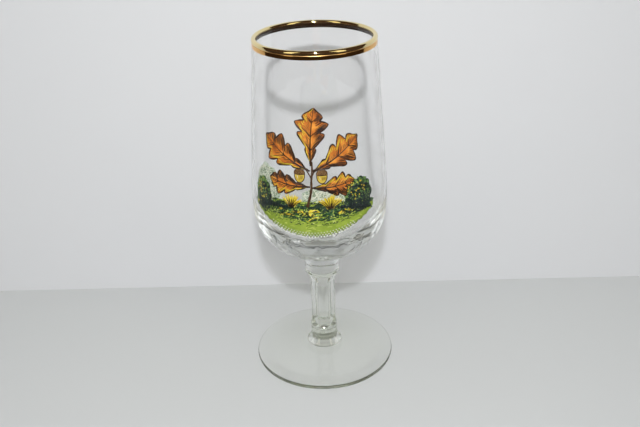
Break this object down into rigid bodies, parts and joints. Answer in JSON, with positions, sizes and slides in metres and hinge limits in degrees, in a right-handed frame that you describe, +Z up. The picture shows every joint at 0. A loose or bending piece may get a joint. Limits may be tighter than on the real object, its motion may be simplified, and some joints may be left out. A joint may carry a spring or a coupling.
{
  "type": "drinking glass",
  "caption": "Stemmed tulip beer glass on a round foot, with a faceted stem, a gilded lip and a fired print on the front of the bowl.",
  "frame": {"origin": "centre of the foot on the plane that the glass stands on", "axes": "+Z up along the axis of the glass; the printed side faces -Y, and +X is to the right of it"},
  "size_m": [0.0694, 0.0694, 0.165],
  "materials": {
    "clear_glass": "polished",
    "gold": "polished",
    "ink_pale": "satin",
    "ink_green": "satin",
    "ink_dark": "satin",
    "ink_yellow": "satin",
    "ink_orange": "satin"
  },
  "bodies": {
    "root": {"foot": "clear_glass", "stem": "clear_glass", "bowl": "clear_glass", "rim_gilding": "gold", "print_hills_left": "ink_pale", "print_hills_right": "ink_pale", "print_ground": "ink_green", "print_shrub_left": "ink_dark", "print_shrub_right": "ink_dark", "print_tuft_left": "ink_yellow", "print_tuft_right": "ink_yellow", "print_leaf_top": "ink_orange", "print_leaf_left": "ink_orange", "print_leaf_right": "ink_orange", "print_leaf_low_left": "ink_orange", "print_leaf_low_right": "ink_orange", "print_twig": "ink_dark", "print_acorn_left": "ink_yellow", "print_acorn_right": "ink_yellow"}
  },
  "joints": []
}
